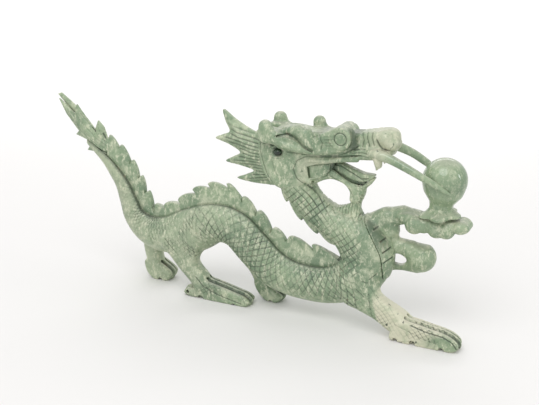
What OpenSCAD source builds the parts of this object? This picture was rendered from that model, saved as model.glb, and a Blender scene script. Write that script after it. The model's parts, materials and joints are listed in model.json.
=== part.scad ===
// Carved jade dragon that holds up a pearl.
// It lies along X with its head towards +X and stands on z = 0. The origin is the middle of its
// bounding box at the standing plane. "Near" is the -Y side and "far" is the +Y side.

/* [Body] */
// Sideways thickness of the body at its fullest
body_w = 37; // [32:0.5:42]
// Height of the fin lobes above the spine
fin_h = 13; // [9:0.5:16]
// Lobes on the fin along the back
back_lobes = 10; // [7:1:13]
// Lobes on the fin down the tail
tail_lobes = 5; // [4:1:7]
// Barbs on the neck fin
neck_lobes = 5; // [3:1:7]
// Thickness of the belly plates
plate_t = 2.5; // [1.5:0.25:4]
// Belly plates on the chest
plate_count = 6; // [4:1:9]

/* [Head] */
// Thickness of the mane where it meets the skull
mane_t = 16; // [12:1:20]
// Sideways distance from the middle of the head to each brow
brow_y = 15; // [13:0.5:17]
// Radius of the round scroll at the front of each brow
scroll_r = 8; // [6:0.5:9]
// Radius of an eye bead
eye_r = 4.5; // [3.5:0.25:5.5]
// Radius of a whisker
whisker_r = 4; // [3:0.25:4.5]

/* [Pearl] */
// Radius of the pearl
pearl_r = 18.5; // [16:0.5:20]
// Sideways place of the pearl
pearl_y = 6; // [4:0.5:8]
// Points on the flame collar under the pearl
collar_points = 9; // [8:1:12]

/* [Paws] */
// Radius of a toe
toe_r = 4; // [3.25:0.25:4.5]
// Sideways spacing of the toes
toe_gap = 5.2; // [4.5:0.1:6]

/* [Hidden] */

JADE = "#9DB592";
LIGHT_JADE = "#B9C9A6";
CREAM = "#DCDEC0";
DEEP_JADE = "#7E9C7C";
EYE_GREEN = "#1F3022";

FULL = body_w / 2;
LOBE_LEAN = 0.35;
LOBE_NOTCH = 0.45;
BALL_SIDES = 12;
PEARL_X = 174;
PEARL_Z = 139;
PEARL_FOOT_R = 10.5;

// The spine from the tail to the head: x, z, half height, share of the half thickness, and
// share of the fin's height.
SPINE = [
    [-165, 130, 4, 0.24, 0.6], [-148, 118, 6.5, 0.4, 0.8], [-138, 108, 8.5, 0.5, 0.9],
    [-129, 96, 10, 0.57, 0.95], [-123, 81, 11.5, 0.64, 0.9], [-117, 66, 13.5, 0.72, 0.85],
    [-106, 56, 16, 0.85, 0.7], [-92, 52, 18, 0.95, 0.5], [-74, 54, 20, 1, 0.55],
    [-54, 62, 22, 1, 0.7], [-32, 72, 19.5, 1, 1.4], [-11, 70, 19.5, 1, 1],
    [8, 54, 20, 1, 0.6], [24, 40, 20, 1, 0.8], [42, 33, 18.5, 1, 1.1],
    [60, 31, 18, 1, 1.2], [78, 32, 18, 1, 1.15], [95, 38, 19, 1, 0.9], [106, 47, 20.5, 1, 0.5],
    [112, 57, 21.5, 1, 0.4], [112, 68, 23, 1, 0.4], [105, 78, 21, 0.97, 0.4],
    [94, 86, 17, 0.9, 0.5], [80, 92, 13.5, 0.76, 0.5], [65, 101, 12.5, 0.7, 0.5],
    [55, 110, 13, 0.72, 0.5], [49, 119, 14.5, 0.78, 0.45]
];
LAST = len(SPINE) - 1;
RING_STEP = 0.5;

// Where one part of the body gives way to the next, in stations of the spine.
TAIL_END = 5;
RUMP_END = 9;
BACK_END = 13;
BELLY_END = 17;
CHEST_END = 21;

// Where the fins and the belly plates begin and end, in stations of the spine.
TAIL_FIN = [1.4, 6.9];
BACK_FIN = [7, 17.5];
NECK_FIN = [20.8, LAST - 0.2];
PLATES = [17, 22.4];

// Sideways place of the fangs, and the middle of an eye.
FANG_Y = 8;
EYE_AT = [34, 14.9, 150];

// ---- Curves, rings and lofts ----

function smooth(a, b, c, d, t) =
    0.5 * (2 * b + (c - a) * t + (2 * a - 5 * b + 4 * c - d) * t * t
    + (3 * b - a - 3 * c + d) * t * t * t);

function station(u) =
    let (i = min(floor(u), LAST - 1))
    smooth(SPINE[max(i - 1, 0)], SPINE[i], SPINE[i + 1], SPINE[min(i + 2, LAST)], u - i);

function heading(u) =
    let (step = station(min(u + 0.05, LAST)) - station(max(u - 0.05, 0)))
    [step[0], step[1]] / norm([step[0], step[1]]);

// A unit outline with a flat edge on each of its four sides. A higher power is squarer.
function outline(power = 2, sides = 16) =
    let (k = pow(cos(180 / sides), 2 / power))
    [for (j = [0:sides - 1]) let (a = (j + 0.5) * 360 / sides)
        [sign(cos(a)) * pow(abs(cos(a)), 2 / power) / k,
         sign(sin(a)) * pow(abs(sin(a)), 2 / power) / k]];

// The body's ring at a station: sideways is Y, and up in the outline is towards the fin.
function body_ring(u) =
    let (s = station(u), t = heading(u))
    [for (q = outline()) [s[0] - t[1] * q[1] * s[2], q[0] * s[3] * FULL, s[1] + t[0] * q[1] * s[2]]];

// A ring across X between two heights.
function head_ring(s, power) =
    [for (q = outline(power)) [s[0], q[0] * s[3], (s[1] + s[2]) / 2 + q[1] * (s[2] - s[1]) / 2]];

// A level ring: its height, then x, y and the two half widths.
function level_ring(s) = [for (q = outline(2, 12)) [s[1] + q[0] * s[3], s[2] + q[1] * s[4], s[0]]];

// A closed skin over rings that all have the same number of points.
module loft(rings) {
    n = len(rings[0]);
    m = len(rings);
    sides = [for (i = [0:m - 2], j = [0:n - 1])
        let (a = i * n + j, b = a + n, c = (i + 1) * n + (j + 1) % n, d = c - n)
        each [[a, b, c], [a, c, d]]];
    first = [for (j = [0:n - 1]) j];
    last = [for (j = [n - 1:-1:0]) (m - 1) * n + j];
    polyhedron([for (r = rings) each r], concat(sides, [first, last]));
}

module body_part(from, to) {
    loft([for (u = [from:RING_STEP:to]) body_ring(u)]);
}

// Stations are x, lowest z, highest z and half width.
module head_part(stations, power = 2.6) {
    loft([for (s = stations) head_ring(s, power)]);
}

// ---- Fins and plates that lie on the body ----

// A point on the body between two of its rings, on the straight line that joins them.
function on_body(u, corner) =
    let (k = floor(u / RING_STEP + 0.0001) * RING_STEP, t = (u - k) / RING_STEP)
    k + RING_STEP > LAST ? body_ring(LAST)[corner]
    : body_ring(k)[corner] * (1 - t) + body_ring(k + RING_STEP)[corner] * t;

// Height of a lobe from its tip, at 0, down to the next notch, at 1.
function lobe(phase) = LOBE_NOTCH + (1 - LOBE_NOTCH) * sqrt(max(0, 1 - phase * phase));

function fin_ring(u, height) =
    let (t = heading(u), up = [-t[1], 0, t[0]], back = [-t[0], 0, -t[1]],
         a = on_body(u, 3), b = on_body(u, 4), mid = (a + b) / 2,
         lift = up * height + back * height * LOBE_LEAN)
    [a, mid + (a - mid) * 0.5 + lift, mid + (b - mid) * 0.5 + lift, b];

module fin(stretch, lobes) {
    steps = [0.02, 0.3, 0.6, 0.85, 1];
    from = stretch[0];
    span = (stretch[1] - from) / lobes;
    loft([for (i = [0:lobes - 1], p = steps)
        let (u = from + (i + p) * span, ends = i == lobes - 1 ? 1 - 0.7 * p : 1)
        fin_ring(u, fin_h * station(u)[4] * lobe(p) * ends)]);
}

function plate_ring(u, thickness) =
    let (t = heading(u), out = [t[1], 0, -t[0]], corners = [for (c = [10:13]) on_body(u, c)])
    concat([for (c = corners) c + out * thickness], [for (j = [3:-1:0]) corners[j]]);

// ---- Limbs ----

// A ball is x, y, z and its three radii.
module ball(b) {
    translate([b[0], b[1], b[2]]) scale([b[3], b[4], b[5]]) sphere(1, $fn = BALL_SIDES);
}

module limb(balls) {
    for (i = [0:len(balls) - 2]) {
        hull() {
            ball(balls[i]);
            ball(balls[i + 1]);
        }
    }
}

module above_ground() {
    intersection() {
        children();
        translate([-250, -60, 0]) cube([500, 120, 250]);
    }
}

// Three toes side by side. Each passes through the points, which are x, z and radius.
module toes(points, y) {
    for (side = [-1:1]) {
        limb([for (p = points) [p[0], y + side * toe_gap, p[1], p[2], min(p[2], toe_r * 0.8), p[2]]]);
    }
}

module leg(stations) {
    loft([for (s = stations) level_ring(s)]);
}

// ---- Body ----

module tail() {
    color(JADE) body_part(0, TAIL_END);
}

module rump() {
    color(JADE) body_part(TAIL_END, RUMP_END);
}

module back() {
    color(JADE) body_part(RUMP_END, BACK_END);
}

module belly() {
    color(JADE) body_part(BACK_END, BELLY_END);
}

module chest() {
    color(JADE) body_part(BELLY_END, CHEST_END);
}

module neck() {
    color(JADE) body_part(CHEST_END, LAST);
}

module tail_fin() {
    color(LIGHT_JADE) fin(TAIL_FIN, tail_lobes);
}

module back_fin() {
    color(LIGHT_JADE) fin(BACK_FIN, back_lobes);
}

module neck_fin() {
    color(LIGHT_JADE) fin(NECK_FIN, neck_lobes);
}

module belly_plates() {
    span = (PLATES[1] - PLATES[0]) / plate_count;
    color(LIGHT_JADE)
    loft([for (i = [0:plate_count - 1], p = [0.04, 0.2, 0.8, 0.96])
        plate_ring(PLATES[0] + (i + p) * span, plate_t * (p > 0.1 && p < 0.9 ? 1 : 0.5))]);
}

// The flame at the tip of the tail: a lobed leaf that thins to two prongs.
module tail_flame() {
    leaf = [[-201, 173], [-195, 174], [-181, 160], [-178, 167], [-160, 145], [-154, 152],
            [-148, 140], [-142, 141], [-132, 125], [-138, 117], [-162, 128], [-178, 142],
            [-190, 156]];
    plan = [[-202, -4], [-202, -1], [-184, 0], [-202, 1], [-202, 4], [-160, 5.5], [-130, 4],
            [-130, -4], [-160, -5.5]];
    color(LIGHT_JADE)
    intersection() {
        rotate([90, 0, 0]) linear_extrude(20, center = true) polygon(leaf);
        translate([0, 0, 110]) linear_extrude(80) polygon(plan);
    }
}

// Two small barbs that stand out under the tail's tip, on the far side.
module tail_barbs() {
    barbs = [[[-182, 137], [-175, 145], [-167, 133]], [[-171, 123], [-168, 130], [-161, 122]]];
    color(JADE)
    for (b = barbs) {
        translate([0, 6, 0]) rotate([90, 0, 0]) linear_extrude(5) polygon(b);
    }
}

// ---- Head ----

module skull() {
    color(JADE) head_part([[17, 118, 162, 9], [26, 114, 165, 13], [37, 110, 166, 15],
                           [50, 120, 166, 15.5], [63, 130, 165, 14]]);
}

module upper_jaw() {
    color(LIGHT_JADE) head_part([[63, 145, 165, 14], [75, 147, 165, 13.5], [90, 148, 166, 12.5],
                                 [103, 150, 173, 12]]);
}

module nose() {
    color(CREAM) head_part([[103, 150, 173, 12], [113, 151, 176, 12.5], [125, 154, 177, 12],
                            [133, 159, 176, 10], [137, 165, 173, 6]]);
}

module lower_jaw() {
    color(JADE) head_part([[63, 124, 131, 9], [76, 125.5, 132.5, 8.5], [88, 124, 131, 8],
                           [98, 119, 127, 8], [107, 118, 127, 7.5], [113, 124, 132, 6],
                           [117, 131, 137, 3]]);
}

module tongue() {
    color(DEEP_JADE) head_part([[63, 131, 145, 9], [77, 133.5, 144.5, 8], [88, 133, 143, 6.5],
                                [100, 130, 139.5, 6], [112, 127.5, 137, 5]], 2.3);
}

// A tooth on each side that hangs from the lip, with its root in the lip.
module fangs() {
    root_z = 154.5;
    tip_z = 144;
    color(CREAM)
    for (side = [-1, 1]) {
        hull() {
            ball([120, side * FANG_Y, root_z, 5, 3, 2]);
            ball([120.5, side * FANG_Y, tip_z, 1.2, 1.2, 1.2]);
        }
    }
}

module mane() {
    fan = [[17, 115], [-11, 117], [5, 126], [-22, 130], [-8, 141], [-32, 150], [-18, 157],
           [-24, 178], [-5, 166], [17, 159]];
    plan = [[17, -mane_t / 2], [17, mane_t / 2], [-32, 3], [-32, -3]];
    color(JADE)
    intersection() {
        rotate([90, 0, 0]) linear_extrude(mane_t, center = true) polygon(fan);
        translate([0, 0, 100]) linear_extrude(90) polygon(plan);
    }
}

// The strut of carved hair from the chin down to the neck.
module beard() {
    strands = [[94, 95, 8, 7], [103, 100.5, 6, 6], [112, 101.5, 4.5, 5], [118, 103, 5, 6]];
    color(LIGHT_JADE)
    loft([for (s = strands) [for (q = outline()) [s[1] + q[0] * s[2], q[1] * s[3], s[0]]]]);
}

module brow(side) {
    translate([0, side * brow_y, 0])
    limb([[22, 0, 164, 6, 4.5, 6], [34, 0, 159, 5.5, 4.5, 5.5], [52, 0, 158, 5.5, 4.5, 6],
          [72, 0, 160, 6.5, 4.5, 7.5], [88, 0, 166, scroll_r, 5, scroll_r]]);
}

module near_brow() {
    color(LIGHT_JADE) brow(-1);
}

module far_brow() {
    color(LIGHT_JADE) brow(1);
}

// A rounded knob that stands on a brow and leans back, with a foot that slopes to the front.
module knob(x, side, low, high, r) {
    translate([x, side * brow_y, 0])
    hull() {
        ball([r, 0, low, r + 1, r * 0.8, 2]);
        ball([0, 0, high - r, r, r, r]);
    }
}

module near_horn() {
    color(JADE) knob(21, -1, 167, 179, 5.5);
}

module far_horn() {
    color(JADE) knob(21, 1, 167, 179, 5.5);
}

module near_knob() {
    color(JADE) knob(56, -1, 164, 176, 5);
}

module far_knob() {
    color(JADE) knob(56, 1, 164, 178, 5);
}

// The ridge that crosses the forehead between the two front knobs.
module forehead() {
    color(JADE) limb([[54, -9, 167, 8, 6, 7], [52, 3, 167, 9, 8, 7]]);
}

// A dome on the side of the skull.
module eye(side) {
    translate([EYE_AT[0], side * EYE_AT[1], EYE_AT[2]])
    rotate([side * -90, 0, 0])
    scale(eye_r)
    rotate_extrude($fn = 32)
    intersection() {
        circle(1, $fn = 32);
        square(1);
    }
}

module near_eye() {
    color(EYE_GREEN) eye(-1);
}

module far_eye() {
    color(EYE_GREEN) eye(1);
}

module near_whisker() {
    r = whisker_r;
    color(JADE) limb([[130, -11, 156, r, r, r], [146, -15, 153, r, r, r], [162, -16, 146, r, r, r],
                      [180, -15, 135, r, r * 0.8, r]]);
}

module far_whisker() {
    r = whisker_r;
    color(JADE) limb([[130, 11, 160, r, r, r], [143, 14, 156, r, r, r], [152, 16, 151, r, r, r]]);
}

// ---- Legs ----

module near_hind_leg() {
    color(JADE) leg([[18, -50, -10, 9, 7], [24, -52, -10, 10.5, 7.5], [34, -57.5, -10.5, 13.5, 8],
                     [45, -64, -10, 17, 7.5]]);
}

module near_hind_paw() {
    color(LIGHT_JADE)
    above_ground() union() {
        limb([[-49, -10, 7, 10, 7.5, 11], [-36, -10, 5, 10, 8, 15]]);
        limb([[-48, -10, 4, 6, 6, 7], [-57, -10, 1, 3, 3, 5]]);
        toes([[-36, 5, 13], [-20, 5, 11], [-6, 4, 9], [3, 2, 5]], -10);
    }
}

module far_hind_leg() {
    color(JADE) leg([[20, -109, 10, 9, 7], [28, -109, 10, 11, 7.5], [38, -106, 9.5, 16, 8]]);
}

module far_hind_paw() {
    color(LIGHT_JADE)
    above_ground() union() {
        limb([[-107, 10, 9.5, 9, 7, 10.5], [-104, 10, 6, 9, 8, 10]]);
        toes([[-106, 6, 9], [-99, 5, 9], [-94, 4, 8], [-90, 3, 5]], 10);
    }
}

module middle_leg() {
    color(JADE) leg([[19, 4, 10, 7, 7], [27, 3, 10, 8, 7.5], [36, 6, 9.5, 11, 7.5]]);
}

module middle_paw() {
    color(LIGHT_JADE)
    above_ground() union() {
        limb([[8, 10, 9, 7, 7, 10], [12, 10, 6, 8, 8, 10]]);
        toes([[10, 5, 9], [18, 5, 8.5], [23, 4, 7], [27, 2, 5]], 10);
    }
}

// The near fore leg slants forward from the chest, so its rings stand across X.
module near_fore_leg() {
    color(JADE)
    loft([for (s = [[100, 24, 44, 7], [114, 19, 40, 8.5], [126, 15, 36, 8.5], [138, 8, 32, 8]])
        [for (q = outline(2, 12))
            [s[0], -14 + q[0] * s[3], (s[1] + s[2]) / 2 + q[1] * (s[2] - s[1]) / 2]]]);
}

module near_fore_paw() {
    color(CREAM)
    above_ground() union() {
        limb([[149, -15, 14, 8, 8.3, 16], [156, -15, 10, 11, 8.3, 15]]);
        limb([[151, -15, 6, 5, 6, 8], [146, -15, 1, 3, 4, 5]]);
        toes([[152, 8, 15], [170, 7, 14], [185, 7, 13.5], [193, 5, 9], [196, 2, 5]], -15.2);
    }
}

module raised_leg() {
    color(JADE) {
        limb([[123, 9, 77, 10, 9, 9], [147, 9, 74.5, 12, 8.5, 7.5], [157, 9, 67, 13, 8.5, 13]]);
        limb([[126, 8, 53.5, 8, 7, 4], [150, 9, 58, 9, 8, 5.5]]);
        limb([[140, 9, 76, 9, 8, 6], [129, 8, 90, 9, 8, 10]]);
    }
}

module raised_paw() {
    color(LIGHT_JADE) {
        limb([[127, 8, 102, 11, 8, 8], [152, 7, 98, 12, 9, 7.5], [172, pearl_y, 97, 12, 10, 6]]);
        toes([[152, 96, 6.5], [174, 95, 6], [188, 98.5, 4.5], [195, 102, 2.5]], 7);
    }
}

// ---- Pearl ----

// A ball on a short round foot.
module pearl() {
    foot_z = 112;
    flare_z = 118;
    flare_h = 11;
    color(JADE)
    translate([PEARL_X, pearl_y, 0]) {
        translate([0, 0, PEARL_Z]) sphere(pearl_r, $fn = 64);
        translate([0, 0, flare_z]) cylinder(h = flare_h, r1 = PEARL_FOOT_R, r2 = 14, $fn = 64);
        translate([0, 0, foot_z]) cylinder(h = flare_z - foot_z, r = PEARL_FOOT_R, $fn = 64);
    }
}

// A ring of flame points that cups the pearl's foot. The foot sits in its round socket.
module pearl_collar() {
    color(LIGHT_JADE)
    translate([PEARL_X, pearl_y, 0])
    difference() {
        union() {
            translate([0, 0, 103]) cylinder(h = 7, r1 = 11, r2 = 14, $fn = 32);
            for (i = [0:collar_points - 1]) {
                rotate(i * 360 / collar_points)
                hull() {
                    translate([11, 0, 106]) sphere(3.5, $fn = 8);
                    translate([16, 0, 112]) sphere(1.2, $fn = 8);
                }
            }
        }
        translate([0, 0, 112]) cylinder(h = 20, r = PEARL_FOOT_R, $fn = 64);
    }
}

tail_flame();
tail_barbs();
tail();
rump();
back();
belly();
chest();
neck();
tail_fin();
back_fin();
neck_fin();
belly_plates();
skull();
upper_jaw();
nose();
lower_jaw();
tongue();
fangs();
mane();
beard();
near_brow();
far_brow();
near_horn();
far_horn();
near_knob();
far_knob();
forehead();
near_eye();
far_eye();
near_whisker();
far_whisker();
near_hind_leg();
near_hind_paw();
far_hind_leg();
far_hind_paw();
middle_leg();
middle_paw();
near_fore_leg();
near_fore_paw();
raised_leg();
raised_paw();
pearl();
pearl_collar();
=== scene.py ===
"""A carved jade dragon with a pearl: its stone surface, stage, light and camera.

The stone is modelled as fields of signed distance on fine grids, in millimetres, and each field is
meshed once. X runs from the tail to the head, Z is up, and the near side is -Y.
"""

import json
import math

import bpy
import numpy as np
import openvdb
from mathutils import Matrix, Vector


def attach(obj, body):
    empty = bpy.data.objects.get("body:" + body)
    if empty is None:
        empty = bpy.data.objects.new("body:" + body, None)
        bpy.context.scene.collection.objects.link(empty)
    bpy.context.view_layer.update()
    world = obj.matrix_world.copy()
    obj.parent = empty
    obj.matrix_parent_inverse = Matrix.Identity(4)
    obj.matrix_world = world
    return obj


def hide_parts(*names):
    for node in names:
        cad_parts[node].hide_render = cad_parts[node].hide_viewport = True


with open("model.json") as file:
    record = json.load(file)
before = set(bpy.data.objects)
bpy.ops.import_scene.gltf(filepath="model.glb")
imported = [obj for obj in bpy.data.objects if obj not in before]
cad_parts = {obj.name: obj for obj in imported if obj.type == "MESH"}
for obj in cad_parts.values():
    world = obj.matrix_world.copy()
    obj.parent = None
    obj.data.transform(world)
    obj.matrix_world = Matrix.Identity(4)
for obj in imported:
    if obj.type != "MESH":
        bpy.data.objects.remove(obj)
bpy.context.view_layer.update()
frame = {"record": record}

MM = 0.001
FAR = 50.0
# The sign of Y on each side.
SIDES = NEAR_SIDE, FAR_SIDE = -1, 1

# ---- Grid steps ----
BODY_STEP = 0.6
FINE_STEP = 0.5
EYE_STEP = 0.4
# How far under the surface the hidden ends of the pieces lie.
COVER = 0.8
# How many places are compared with the spine at once.
BATCH = 20000

# ---- The spine, from the tail to the head ----
# x, z, half height, share of the half thickness.
SPINE = [
    (-165, 130, 4, 0.24), (-148, 118, 6.5, 0.4), (-138, 108, 8.5, 0.5), (-129, 96, 10, 0.57),
    (-123, 81, 11.5, 0.64), (-117, 66, 13.5, 0.72), (-106, 56, 16, 0.85), (-92, 52, 18, 0.95),
    (-74, 54, 20, 1), (-54, 62, 22, 1), (-32, 72, 19.5, 1), (-11, 70, 19.5, 1), (8, 54, 20, 1),
    (24, 40, 20, 1), (42, 33, 18.5, 1), (60, 31, 18, 1), (78, 32, 18, 1), (95, 38, 19, 1),
    (106, 47, 20.5, 1), (112, 57, 21.5, 1), (112, 68, 23, 1), (105, 78, 21, 0.97), (94, 86, 17, 0.9),
    (80, 92, 13.5, 0.76), (65, 101, 12.5, 0.7), (55, 110, 13, 0.72), (49, 119, 14.5, 0.78),
]
HALF_THICKNESS = 18.5
SPINE_STEPS = 40


# ---- Lines and outlines ----


def smooth_line(points, steps, closed=False):
    """A Catmull-Rom line through the points, with the given steps from each to the next."""
    p = np.array(points, float)
    n = len(p)
    spans = n if closed else n - 1
    t = np.arange(steps)[:, None] / steps
    runs = []
    for i in range(spans):
        around = [i - 1, i, i + 1, i + 2]
        at = [j % n if closed else min(max(j, 0), n - 1) for j in around]
        a, b, c, d = (p[j] for j in at)
        bend = (2 * a - 5 * b + 4 * c - d) * t**2
        runs.append(0.5 * (2 * b + (c - a) * t + bend + (3 * b - a - 3 * c + d) * t**3))
    if not closed:
        runs.append(p[-1:])
    return np.concatenate(runs)


def line_distance(points, x, z):
    """Distance in the XZ plane to an open line."""
    nearest = np.full(np.broadcast(x, z).shape, 1e9, np.float32)
    p = np.array(points, np.float32)
    for (x0, z0), (x1, z1) in zip(p[:-1], p[1:]):
        ex, ez = x1 - x0, z1 - z0
        t = np.clip(((x - x0) * ex + (z - z0) * ez) / (ex * ex + ez * ez + 1e-9), 0, 1)
        nearest = np.minimum(nearest, (x - x0 - t * ex) ** 2 + (z - z0 - t * ez) ** 2)
    return np.sqrt(nearest)


def outline_distance(points, x, z):
    """Signed distance in the XZ plane to a closed outline. It is below 0 inside."""
    p = np.array(points, np.float32)
    loop = np.concatenate([p, p[:1]])
    inside = np.zeros(np.broadcast(x, z).shape, bool)
    for (x0, z0), (x1, z1) in zip(loop[:-1], loop[1:]):
        if z0 != z1:
            inside ^= ((z0 > z) != (z1 > z)) & (x < (z - z0) * ((x1 - x0) / (z1 - z0)) + x0)
    return np.where(inside, -1, 1).astype(np.float32) * line_distance(loop, x, z)


class Spine:
    """The middle line of the body, sampled finely."""

    def __init__(self):
        s = smooth_line(SPINE, SPINE_STEPS)
        self.x, self.z, self.half, share = s.T
        self.side = share * HALF_THICKNESS
        step = np.gradient(s[:, :2], axis=0)
        self.t = step / np.linalg.norm(step, axis=1)[:, None]
        self.n = np.stack([-self.t[:, 1], self.t[:, 0]], 1)
        gaps = np.linalg.norm(np.diff(s[:, :2], axis=0), axis=1)
        self.arc = np.concatenate([[0], np.cumsum(gaps)])

    def nearest(self, x, z):
        """For each place: the index of the nearest sample, the height above the spine towards the
        fins, and how far the place lies past the sample along the spine."""
        x, z = np.broadcast_arrays(x, z)
        px, pz = x.ravel(), z.ravel()
        coarse = np.arange(0, len(self.x), 8)
        best = np.empty(len(px), int)
        for i in range(0, len(px), BATCH):
            j = slice(i, i + BATCH)
            gap = (px[j, None] - self.x[coarse]) ** 2 + (pz[j, None] - self.z[coarse]) ** 2
            near = coarse[gap.argmin(1)][:, None] + np.arange(-8, 9)
            near = np.clip(near, 0, len(self.x) - 1)
            gap = (px[j, None] - self.x[near]) ** 2 + (pz[j, None] - self.z[near]) ** 2
            best[j] = near[np.arange(len(near)), gap.argmin(1)]
        dx, dz = px - self.x[best], pz - self.z[best]
        up = dx * self.n[best, 0] + dz * self.n[best, 1]
        past = dx * self.t[best, 0] + dz * self.t[best, 1]
        return best.reshape(x.shape), up.reshape(x.shape), past.reshape(x.shape)

    def at(self, x, z, first, last):
        """The sample index nearest to one place, between two stations."""
        run = slice(int(first * SPINE_STEPS), int(last * SPINE_STEPS))
        return run.start + int(((self.x[run] - x) ** 2 + (self.z[run] - z) ** 2).argmin())


spine = Spine()


# ---- Fields ----


class Field:
    """A block of space on a grid, whose value is below 0 inside the stone. Each cell also knows
    which named piece of the stone it belongs to."""

    def __init__(self, low, high, step):
        self.step = step
        self.low = np.array(low, float)
        count = np.ceil((np.array(high, float) - self.low) / step).astype(int) + 1
        self.value = np.full(count, FAR, np.float32)
        self.owner = np.zeros(count, np.uint8)
        self.names = []
        x, y, z = (self.low[k] + step * np.arange(count[k]) for k in range(3))
        self.x = x.astype(np.float32)[:, None, None]
        self.y = y.astype(np.float32)[None, :, None]
        self.z = z.astype(np.float32)[None, None, :]

    def block(self, low, high):
        """The part of the grid between two corners. Its cells are shared with the whole."""
        part = object.__new__(Field)
        part.step = self.step
        part.names = self.names
        cuts = []
        for k, axis in enumerate((self.x, self.y, self.z)):
            first = int(max(0, math.floor((low[k] - self.low[k]) / self.step)))
            last = int(math.ceil((high[k] - self.low[k]) / self.step)) + 1
            cuts.append(slice(first, min(last, axis.size)))
        part.low = self.low + self.step * np.array([c.start for c in cuts])
        part.x = self.x[cuts[0]]
        part.y = self.y[:, cuts[1]]
        part.z = self.z[:, :, cuts[2]]
        part.value = self.value[cuts[0], cuts[1], cuts[2]]
        part.owner = self.owner[cuts[0], cuts[1], cuts[2]]
        return part

    def beside(self, side, low, high, reach):
        """The part of the grid between two corners in the XZ plane, on one side of Y = 0."""
        y0, y1 = sorted((0, side * reach))
        return self.block((low[0], y0, low[1]), (high[0], y1, high[1]))

    def around(self, outline, y, reach):
        """The part of the grid around an outline in the XZ plane."""
        p = np.array(outline, float)
        low = (p[:, 0].min() - 6, y - reach, p[:, 1].min() - 6)
        high = (p[:, 0].max() + 6, y + reach, p[:, 1].max() + 6)
        return self.block(low, high)

    def flat(self, outline, smooth=True):
        """The signed distance to an outline in the XZ plane, at every cell."""
        line = smooth_line(outline, 5, True) if smooth else outline
        return outline_distance(line, self.x[:, 0, :], self.z[0])[:, None, :]

    def plate(self, outline, y, half, edge, smooth=True):
        """A plate with an outline in the XZ plane, reaching half to each side of y."""
        return slab(self.flat(outline, smooth), self.y - y, half, edge)

    def name(self, name):
        if name not in self.names:
            self.names.append(name)
        return self.names.index(name)

    def add(self, shape, blend=0.0, name=None):
        """Joins a shape to the stone, with a fillet about as wide as blend."""
        if name is not None:
            np.copyto(self.owner, self.name(name), where=shape < self.value)
        self.value[...] = joined(self.value, shape, blend)

    def cut(self, shape, blend=0.0):
        """Takes a shape out of the stone."""
        self.value[...] = -joined(-self.value, shape, blend)

    def at(self, points):
        """The values at some points, each from its nearest cell."""
        cell = np.rint((points - self.low) / self.step).astype(int)
        cell = np.clip(cell, 0, np.array(self.value.shape) - 1)
        return self.value[cell[:, 0], cell[:, 1], cell[:, 2]]


def joined(a, b, blend):
    """The lower of two fields, with a fillet about as wide as blend where they meet."""
    if blend <= 0:
        return np.minimum(a, b)
    h = np.clip(0.5 + 0.5 * (b - a) / blend, 0, 1)
    return b + (a - b) * h - blend * h * (1 - h)


def slab(flat, side, half, edge):
    """A plate: flat is the distance to its outline, side the distance from its middle plane."""
    a = flat + edge
    b = np.abs(side) - (half - edge)
    outside = np.hypot(np.maximum(a, 0), np.maximum(b, 0))
    return np.minimum(np.maximum(a, b), 0) + outside - edge


def blade(flat, side, rim, slope, thick):
    """A plate that thins towards its outline, from half the thickness thick down to rim."""
    half = rim + slope * np.minimum(-flat, (thick - rim) / slope)
    return np.maximum(flat, (np.abs(side) - half) * 0.85)


def chain(f, points, narrow=1.0):
    """A round limb through points of x, y, z and radius. narrow above 1 makes it thinner in Y."""
    result = np.float32(FAR)
    for (x0, y0, z0, r0), (x1, y1, z1, r1) in zip(points[:-1], points[1:]):
        ex, ey, ez = x1 - x0, (y1 - y0) * narrow, z1 - z0
        dx, dy, dz = f.x - x0, (f.y - y0) * narrow, f.z - z0
        t = np.clip((dx * ex + dy * ey + dz * ez) / (ex * ex + ey * ey + ez * ez), 0, 1)
        reach = np.sqrt((dx - t * ex) ** 2 + (dy - t * ey) ** 2 + (dz - t * ez) ** 2)
        result = np.minimum(result, reach - r0 - (r1 - r0) * t)
    return result


def on_side(side, points):
    """Points of x, depth, z and radius, set on the near or the far side."""
    return [(x, side * depth, z, radius) for x, depth, z, radius in points]


def ball(f, x, y, z, radius):
    return np.sqrt((f.x - x) ** 2 + (f.y - y) ** 2 + (f.z - z) ** 2) - radius


# ---- Meshes ----


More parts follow.
